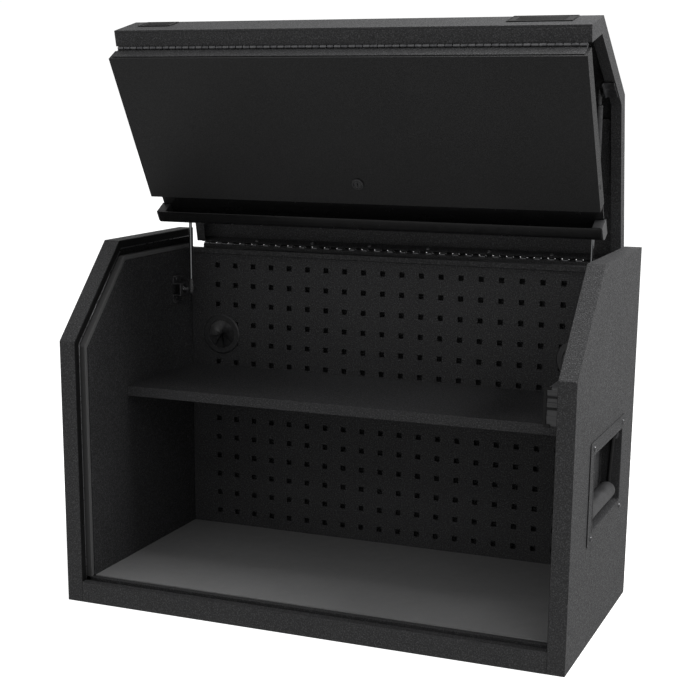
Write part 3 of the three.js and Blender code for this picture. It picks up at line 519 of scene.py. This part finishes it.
def front_hinge():
    at = LID.inverted() @ Vector(JOINTS["front_hinge"]["pos_m"])
    y, z = at.y, at.z
    radius = 0.0032
    for up, first, body, place, node in (
        (1, 0, "lid", LID, "front_hinge_lid_leaf"),
        (-1, 1, "front", FRONT, "front_hinge_front_leaf"),
    ):
        low, high = local(node, place)
        outer = z + up * radius
        plate = ((low.y, y - 0.0008), tuple(sorted((outer, outer - up * 0.0012))))
        start = 90 * up
        sweep = -ROLL * up
        # Lighter hinge steel on the lid leaf's knuckles and darker steel on the front leaf's:
        # painted light and shade on alternate knuckles
        look = "hinge" if up > 0 else "steel"
        piano_leaf(f"{node}_fine", (y, z), radius, high.x, first, start, sweep,
                   plate, body, place, node, look)


rear_hinge()
front_hinge()


# ---- screws and rivets ---------------------------------------------------------------------------

def lid_screws():
    """Eight flat screws along the hinge, seen from inside the open lid."""
    high = local("lid_shell", LID)[1]
    z = local("rear_hinge_lid_leaf", LID)[0].z + 0.0135
    count, spacing = 8, 0.1166
    bm = bmesh.new()
    for i in range(count):
        x = (i - (count - 1) / 2) * spacing
        screw(bm, (x, high.y - 0.0012, z), (0, -1, 0), 0.0042, 0.0022)
        rivet(bm, (x, high.y + 0.0017, z), (0, 1, 0), 0.0038, 0.0014)
    piece("lid_hinge_screws", bm, "hinge", "lid", LID)


def cup_screws():
    for side, hand in SIDES:
        low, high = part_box(f"handle_cup_{hand}")
        face = high.x if side > 0 else low.x
        bm = bmesh.new()
        for y in (low.y + 0.022, high.y - 0.022):
            for z in (low.z + 0.0115, high.z - 0.0115):
                screw(bm, (face, y, z), (side, 0, 0), 0.0046, 0.0026)
        piece(f"cup_screws_{hand}", bm, "zinc", "case")


def cup_rims():
    """The rolled lip round each cup's mouth, and the rivet heads that carry the bail."""
    for side, hand in SIDES:
        low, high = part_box(f"handle_cup_{hand}")
        face = high.x if side > 0 else low.x
        y0, y1 = low.y + 0.028, high.y - 0.028
        z0, z1 = low.z + 0.022, high.z - 0.022
        corner = 0.005
        path = []
        for cy, cz, start in ((y1 - corner, z1 - corner, 0), (y0 + corner, z1 - corner, 90),
                              (y0 + corner, z0 + corner, 180), (y1 - corner, z0 + corner, 270)):
            for i in range(6):
                a = radians(start + 18 * i)
                path.append(((cy, cz), (cos(a), sin(a))))
        ring = [
            (0.0002, 0.0004), (0.0014, 0.0009), (0.0030, 0.0007),
            (0.0040, -0.0003), (0.0002, -0.0008),
        ]
        bm = bmesh.new()
        loops = []
        for (cy, cz), (ay, az) in path:
            loops.append([
                bm.verts.new((face + side * up, cy + ay * (corner + out), cz + az * (corner + out)))
                for out, up in ring
            ])
        for a, b in zip(loops, loops[1:] + loops[:1]):
            for i in range(len(ring)):
                j = (i + 1) % len(ring)
                bm.faces.new((a[i], a[j], b[j], b[i]))
        piece(f"cup_rim_{hand}", bm, "coat", "case", angle=60)

        px, _, pz = JOINTS[f"handle_turn_{hand}"]["pos_m"]
        bm = bmesh.new()
        for y, way in ((y0 + 0.0041, 1), (y1 - 0.0041, -1)):
            lathe(bm, [
                (0.0074, 0), (0.0072, 0.0009), (0.0056, 0.0013), (0.0048, 0.0013), (0.0048, 0.0),
            ], (px, y, pz), (0, way, 0), 20)
        piece(f"cup_bushes_{hand}", bm, "steel", "case")


def panel_rivets():
    """Rivets along the rear edges of the two inner side panels."""
    for side, hand in SIDES:
        low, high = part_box(f"inner_side_{hand}")
        face = high.x if side < 0 else low.x
        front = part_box(f"side_panel_{hand}")[0].y
        bm = bmesh.new()
        for y, z in ((0.398, 0.433), (0.400, 0.407), (0.401, 0.120), (0.401, 0.220)):
            rivet(bm, (face, front + y, z), (-side, 0, 0), 0.0028, 0.0013)
        for y, z in ((0.417, 0.084), (0.354, 0.044), (0.079, 0.047)):
            rivet(bm, (face, front + y, z), (-side, 0, 0), 0.0018, 0.0007)
        low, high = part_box(f"strut_bracket_{hand}")
        for z in (low.z + 0.006, high.z - 0.006):
            at = (face - side * 0.0023, (low.y + high.y) / 2, z)
            rivet(bm, at, (-side, 0, 0), 0.0034, 0.0016)
        piece(f"panel_rivets_{hand}", bm, "zinc", "case")


def grommet_flaps():
    """Eight rubber flaps in front of a disc, each lifted a little along one edge."""
    for _, hand in SIDES:
        low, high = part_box(f"grommet_star_{hand}")
        cx, cz = (low.x + high.x) / 2, (low.z + high.z) / 2
        radius = (high.x - low.x) / 2
        bm = bmesh.new()
        flaps, steps, rings, overlap = 8, 6, 5, 0.02
        first_angle = 0.2
        for i in range(flaps):
            grid = []
            for j in range(steps + 1):
                share = j / steps
                angle = 2 * pi * (i + share * (1 + overlap)) / flaps + first_angle
                row = []
                for k in range(rings + 1):
                    out = 0.02 + 0.98 * k / rings
                    lift = 0.0065 * share * out * (1 - out) + 0.0034 * share
                    x, z = cx + radius * out * cos(angle), cz + radius * out * sin(angle)
                    row.append((x, low.y + 0.0004 - lift, z))
                grid.append(row)
            for back in (0.0, 0.0011):
                verts = [[bm.verts.new((x, y + back, z)) for x, y, z in row] for row in grid]
                for a, b in zip(verts, verts[1:]):
                    for k in range(rings):
                        bm.faces.new((a[k], a[k + 1], b[k + 1], b[k]))
        rim = radius + 0.0002
        lathe(bm, [(0.001, 0.0), (rim, 0.0), (rim, 0.0008), (0.001, 0.0008)],
              (cx, low.y + 0.0028, cz), (0, 1, 0), 32)
        obj = piece(f"grommet_flaps_{hand}", bm, "rubber", "case", angle=25)
        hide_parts(f"grommet_star_{hand}")


def lip_edges():
    """On each side panel's lip, a black trim strip whose black also stands in for the shade on the
    lip, and beside it the folded edge in bright steel, a painted highlight line.
    """
    lip = 0.0150  # how wide the lip is
    slant = 0.1600  # how far the sloping front runs back, and up
    for side, hand in SIDES:
        low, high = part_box(f"side_panel_{hand}")
        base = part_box("base_pan")[1]
        plane = low.x if side > 0 else high.x

        def path(inset):
            shift = inset * (2 ** 0.5 - 1)
            return [
                (low.y + inset, base.z + 0.001),
                (low.y + inset, high.z - slant - shift),
                (low.y + slant + shift, high.z - inset),
                (high.y - 0.020, high.z - inset),
            ]

        # The folded edge is drawn in bright hinge steel rather than the panel's black coat: a
        # painted highlight along the fold
        bm = bmesh.new()
        edge = path(lip - 0.0006)
        for (y0, z0), (y1, z1) in zip(edge, edge[1:]):
            way = Vector((0, y1 - y0, z1 - z0))
            run = [
                (0.0005, 0.0), (0.0008, 0.0004),
                (0.0008, way.length - 0.0004), (0.0005, way.length),
            ]
            lathe(bm, run, (plane - side * 0.0006, y0, z0), way, 10)
        piece(f"lip_hem_highlight_{hand}", bm, "hinge", "case", angle=60)

        # The black trim is partly a trim strip and partly painted shade on the lip
        bm = bmesh.new()
        outer, inner = path(0.0012), path(lip - 0.0016)
        # The trim is narrower where the lock's rod passes through the lip
        rod_low, rod_high, rod_edge = 0.1390, 0.1490, low.y + 0.0084
        near_y, far_y = outer[0][0], inner[0][0]
        runs = (
            ([outer[0], (near_y, rod_low)], [inner[0], (far_y, rod_low)]),
            ([(near_y, rod_low), (near_y, rod_high)], [(rod_edge, rod_low), (rod_edge, rod_high)]),
            ([(near_y, rod_high)] + outer[1:], [(far_y, rod_high)] + inner[1:]),
        )
        for outside, inside in runs:
            loops = []
            for (y0, z0), (y1, z1) in zip(outside, inside):
                near, far = plane - side * 0.0008, plane + side * 0.0002
                corners = ((far, y0, z0), (near, y0, z0), (near, y1, z1), (far, y1, z1))
                loops.append([bm.verts.new(corner) for corner in corners])
            loft(bm, loops)
        piece(f"lip_trim_shade_{hand}", bm, "black", "case", bevel=0.0002)


lip_edges()
grommet_flaps()
lid_screws()
cup_screws()
cup_rims()
panel_rivets()


# ---- grips, struts and lock ----------------------------------------------------------------------

def grips():
    for _, hand in SIDES:
        low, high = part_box(f"grip_{hand}")
        centre = (low + high) / 2
        half = (high.y - low.y) / 2
        radius = (high.z - low.z) / 2
        profile = [(radius * 0.30, -half), (radius * 0.62, -half), (radius * 0.84, -half + 0.0006)]
        profile += [(radius * 0.96, -half + 0.0022), (radius, -half + 0.005)]
        inner = [(r, -a) for r, a in reversed(profile)]
        steps = 20
        body = []
        for i in range(1, steps):
            t = -1 + 2 * i / steps
            body.append((radius * (0.985 + 0.015 * t * t), t * (half - 0.005)))
        bm = bmesh.new()
        lathe(bm, profile + body + inner, centre, (0, 1, 0), 32)
        obj = piece(f"grip_tube_{hand}", bm, "grip", f"handle_{hand}")
        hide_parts(f"grip_{hand}")


def struts():
    """End fittings with a ball socket and its spring clip, the rod guide, and a nut on each ball
    stud.
    """
    for side, hand in SIDES:
        slide = JOINTS[f"strut_slide_{hand}"]
        down = Vector(slide["axis"]).normalized()
        up = -down
        foot = Vector(JOINTS[f"strut_pivot_{hand}"]["pos_m"])
        low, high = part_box(f"strut_cylinder_end_{hand}")
        length = (high.z - foot.z) / up.z - 0.008
        for name, at, way, body, node in (
            ("foot", foot, up, f"strut_low_{hand}", f"strut_rod_end_{hand}"),
            ("head", foot + up * length, down, f"strut_up_{hand}", f"strut_cylinder_end_{hand}"),
        ):
            bm = bmesh.new()
            lathe(bm, [(0.0030, -0.0080), (0.0048, -0.0076), (0.0059, -0.0055), (0.0060, 0.0060),
                       (0.0056, 0.0072), (0.0047, 0.0084), (0.0047, 0.0186), (0.0040, 0.0198)],
                  at, way, 24)
            inwards = Vector((side, 0, 0))
            lathe(bm, [(0.0030, 0.0040), (0.0056, 0.0046), (0.0060, 0.0062), (0.0046, 0.0064)],
                  at, inwards, 20)
            obj = piece(f"strut_{name}_{hand}", bm, "cap", body, angle=45)
            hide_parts(node)
            bm = bmesh.new()
            for along in (0.0021, -0.0021):
                lathe(bm, [
                    (0.0058, along - 0.0005), (0.0064, along - 0.0003),
                    (0.0064, along + 0.0003), (0.0058, along + 0.0005),
                ], at, way, 24)
            piece(f"strut_clip_{name}_{hand}", bm, "zinc", body)
        tube_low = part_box(f"strut_cylinder_{hand}")[0]
        end = foot + up * ((tube_low.z - foot.z) / up.z + 0.0002)
        bm = bmesh.new()
        lathe(bm, [(0.0036, -0.0014), (0.0062, -0.0010), (0.0070, 0.0004), (0.0070, 0.0014)],
              end, up, 24)
        piece(f"strut_guide_{hand}", bm, "zinc", f"strut_up_{hand}")
        bm = bmesh.new()
        low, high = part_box(f"strut_bracket_{hand}")
        plate = foot.x + side * 0.018
        lathe(bm, [(0.0070, 0.0), (0.0070, 0.0012), (0.0060, 0.0018), (0.0044, 0.0019)],
              (plate - side * 0.002, foot.y, foot.z), (-side, 0, 0), 6)
        piece(f"stud_nut_{hand}", bm, "zinc", "case", angle=20)


def bracket_feet():
    """The curled ends of the strut brackets' feet."""
    for side, hand in SIDES:
        low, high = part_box(f"strut_bracket_{hand}")
        outer = low.x if side < 0 else high.x
        bm = bmesh.new()
        for z in (low.z, high.z):
            way = -1 if z == low.z else 1
            steps = 7
            ring = []
            for r in (0.0046, 0.0026):
                arc = []
                for i in range(steps + 1):
                    a = radians(180 * i / steps)
                    x = outer - side * (0.0046 - r * cos(a))
                    arc.append((x, z + way * (r * sin(a) - 0.0020)))
                ring.append(arc)
            outline = ring[0] + ring[1][::-1]
            loft(bm, [[bm.verts.new((x, y, zz)) for x, zz in outline] for y in (low.y, high.y)])
        piece(f"bracket_feet_{hand}", bm, "steel", "case")


def lock_face():
    """A domed collar over the lock's barrel, with the keyway left open."""
    low, high = local("lock_barrel", FRONT)
    x, z = (low.x + high.x) / 2, (low.z + high.z) / 2
    bm = bmesh.new()
    lathe(bm, [
        (0.0107, 0.0), (0.0107, 0.0008), (0.0100, 0.0019), (0.0086, 0.0027),
        (0.0074, 0.0029), (0.0070, 0.0024), (0.0069, 0.0),
    ], (x, low.y + 0.0025, z), (0, -1, 0), 32)
    piece("lock_collar", bm, "cylinder", "front", FRONT)


grips()
struts()
bracket_feet()
lock_face()


# ---- badges and the power strip ------------------------------------------------------------------

def badges():
    """Plain raised plates with a border and three bars: no mark, no lettering."""
    for _, hand in SIDES:
        node = f"badge_{hand}"
        low, high = local(node, LID)
        bm = bmesh.new()
        slab(bm, (low.x, low.y + 0.0004, low.z), high)
        wide, tall = high.x - low.x, high.z - low.z
        edge = 0.0022
        top = low.y - 0.0002
        under = low.y + 0.0006
        slab(bm, (low.x, top, low.z), (high.x, under, low.z + edge))
        slab(bm, (low.x, top, high.z - edge), (high.x, under, high.z))
        slab(bm, (low.x, top, low.z), (low.x + edge, under, high.z))
        slab(bm, (high.x - edge, top, low.z), (high.x, under, high.z))
        for i in range(3):
            z = low.z + tall * (0.28 + 0.22 * i)
            left, right = low.x + wide * 0.12, high.x - wide * 0.12
            slab(bm, (left, top, z - 0.0016), (right, under, z + 0.0016))
        obj = piece(f"badge_plate_{hand}", bm, "black", "lid", LID, bevel=0.0003)
        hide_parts(node)


def power_strip():
    """The strip's case with its stepped end cap, and its outlet face with screws."""
    low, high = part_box("power_strip_case")
    face_low, face_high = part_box("power_strip_face")
    bm = bmesh.new()
    corner = 0.007
    section = []
    for cz, start in ((high.z - corner, 90), (low.z + corner, 180)):
        cx = low.x + corner
        for i in range(7):
            a = radians(start + 15 * i)
            section.append((cx + corner * cos(a), cz + corner * sin(a)))
    section += [(high.x, low.z), (high.x, high.z)]
    # How far the section is pinched in, at each place along the strip
    stations = [
        (low.y + 0.0002, 0.0022), (low.y + 0.0012, 0.0008), (low.y + 0.0030, 0.0),
        (high.y - 0.0030, 0.0), (high.y - 0.0012, 0.0008), (high.y - 0.0002, 0.0022),
    ]
    middle = Vector(((low.x + high.x) / 2, 0, (low.z + high.z) / 2))
    rings = []
    for y, pinch in stations:
        ring = []
        for x, z in section:
            dx, dz = x - middle.x, z - middle.z
            shrink = 1 - pinch / 0.024
            px = high.x if x >= high.x - 1e-6 else middle.x + dx * shrink
            ring.append(bm.verts.new((px, y, middle.z + dz * shrink)))
        rings.append(ring)
    loft(bm, rings)
    obj = piece("strip_body", bm, "plastic", "case", angle=40)
    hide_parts("power_strip_case")

    bm = bmesh.new()
    for y0, y1 in ((low.y - 0.0012, low.y + 0.0045), (high.y - 0.0045, high.y + 0.0012)):
        slab(bm, (low.x - 0.0026, y0, low.z + 0.003), (low.x + 0.0034, y1, high.z - 0.003))
        slab(bm, (low.x - 0.0012, y0, high.z - 0.0045), (low.x + 0.010, y1, high.z + 0.0012))
        slab(bm, (low.x - 0.0012, y0, low.z - 0.0012), (low.x + 0.010, y1, low.z + 0.0045))
    piece("strip_frame", bm, "black", "case", bevel=0.0006)

    bm = bmesh.new()
    tall = high.z - low.z
    proud = 0.00024
    for share in (0.07, 0.39, 0.71):
        z = high.z - tall * share
        slab(bm, (low.x + 0.003, low.y - proud, z - 0.0072), (high.x, low.y + 0.003, z))
    for share in (0.06, 0.385):
        z = high.z - tall * share
        slab(bm, (low.x + 0.004, low.y - 0.0022, z - 0.0016), (high.x, low.y + 0.002, z + 0.0006))
    piece("strip_end_ribs", bm, "plastic", "case", bevel=0.0004)
    # Black bars between the ribs stand in for the shade in the grooves: painted shade
    bm = bmesh.new()
    for share in (0.22, 0.52):
        z = high.z - tall * share
        slab(bm, (low.x + 0.002, low.y - 0.0026, z - 0.0022), (high.x, low.y + 0.002, z + 0.0010))
    piece("strip_end_groove_shade", bm, "black", "case", bevel=0.0002)

    bm = bmesh.new()
    for z in (high.z - 0.020, high.z - 0.0465):
        screw(bm, (low.x + 0.0008, low.y + 0.0016, z), (-0.5, -1, 0), 0.0021, 0.0018)
    for y in (low.y + 0.010, high.y - 0.010):
        for z in (high.z - 0.016, low.z + 0.016):
            screw(bm, (face_low.x, y, z), (-1, 0, 0), 0.0024, 0.0012)
    piece("strip_screws", bm, "zinc", "case")

    outlets = 4
    slot_rise, slot_width = 0.0062, 0.0014
    bm = bmesh.new()
    pitch = (face_high.y - face_low.y) / outlets
    for i in range(outlets):
        y = face_low.y + pitch * (i + 0.5)
        z = (face_low.z + face_high.z) / 2
        x = face_low.x + 0.0016
        for dz, deep in ((slot_rise, 0.0078), (-slot_rise, 0.0066)):
            low_corner = (x - 0.0003, y - deep / 2, z + dz - slot_width / 2)
            slab(bm, low_corner, (x + 0.0002, y + deep / 2, z + dz + slot_width / 2))
        lathe(bm, [(0.0024, -0.0002), (0.0024, 0.0002)], (x, y + 0.0100, z), (-1, 0, 0), 16)
    piece("strip_slots", bm, "rubber", "case")


badges()
power_strip()


# ---- camera, floor and light ---------------------------------------------------------------------

CAMERA_AT = (0.95115, -2.39608, 0.90105)
HEADING, TILT, ROLL_ANGLE = 0.405759, -0.230153, -0.002973  # in radians


def camera():
    data = bpy.data.cameras.new("camera")
    data.sensor_width = 36.0
    data.lens = 76.765
    data.shift_x = 0.05773
    data.shift_y = 0.12332
    data.clip_end = 100.0
    obj = bpy.data.objects.new("camera", data)
    bpy.context.scene.collection.objects.link(obj)
    heading = Matrix.Rotation(HEADING, 4, "Z")
    tilt = Matrix.Rotation(TILT, 4, "X")
    roll = Matrix.Rotation(ROLL_ANGLE, 4, "Y")
    level = Matrix.Rotation(pi / 2, 4, "X")
    place = Matrix.Translation(CAMERA_AT)
    obj.matrix_world = place @ heading @ tilt @ roll @ level
    bpy.context.scene.camera = obj


def studio_shell(name, mesh, at, albedo, glow):
    """A pale surface that only the camera sees, so that it doesn't light the chest."""
    obj = bpy.data.objects.new(name, mesh)
    obj.location = at
    obj.visible_diffuse = False
    obj.visible_glossy = False
    obj.visible_shadow = False
    bpy.context.scene.collection.objects.link(obj)
    mat = bpy.data.materials.new(name)
    mat.use_nodes = True
    shader = mat.node_tree.nodes["Principled BSDF"]
    shader.inputs["Base Color"].default_value = (albedo, albedo, albedo, 1)
    shader.inputs["Roughness"].default_value = 0.9
    shader.inputs["Specular IOR Level"].default_value = 0.0
    shader.inputs["Emission Color"].default_value = (1, 1, 1, 1)
    shader.inputs["Emission Strength"].default_value = glow
    mesh.materials.append(mat)


def floor():
    """A pale floor that melts into an even white background."""
    bm = bmesh.new()
    bmesh.ops.create_circle(bm, cap_ends=True, radius=20.0, segments=96)
    mesh = bpy.data.meshes.new("floor")
    bm.to_mesh(mesh)
    bm.free()
    studio_shell("floor", mesh, (0, 0, cad_box[0][2] - 0.0002), 0.6, 0.9)
    bm = bmesh.new()
    bmesh.ops.create_icosphere(bm, subdivisions=4, radius=30.0)
    mesh = bpy.data.meshes.new("backdrop")
    bm.to_mesh(mesh)
    bm.free()
    studio_shell("backdrop", mesh, (0, 0, 0), 0.0, 1.05)


def lamp(name, at, towards, size, power):
    data = bpy.data.lights.new(name, "AREA")
    data.shape = "RECTANGLE"
    data.size, data.size_y = size
    data.energy = power
    obj = bpy.data.objects.new(name, data)
    obj.location = at
    obj.rotation_euler = (Vector(towards) - Vector(at)).to_track_quat("-Z", "Y").to_euler()
    bpy.context.scene.collection.objects.link(obj)


AMBIENT = 0.54
KEY_RIGHT = 40
FRONT_STRIP = 8
OVERHEAD = 26


def light():
    world = bpy.data.worlds.new("studio")
    world.use_nodes = True
    back = world.node_tree.nodes["Background"]
    back.inputs["Color"].default_value = (1.0, 1.0, 1.0, 1)
    back.inputs["Strength"].default_value = AMBIENT
    bpy.context.scene.world = world
    lamp("key_right", (1.7, 0.25, 1.8), (0.4, 0, 0.5), (0.9, 0.9), KEY_RIGHT)
    lamp("front_strip", (0.2, -2.6, 2.3), (0, 0, 0.7), (4.5, 0.25), FRONT_STRIP)
    lamp("overhead", (0.5, 0.25, 2.7), (0.2, 0, 0.5), (1.4, 0.8), OVERHEAD)
    bpy.context.scene.view_settings.view_transform = "Standard"


camera()
floor()
light()
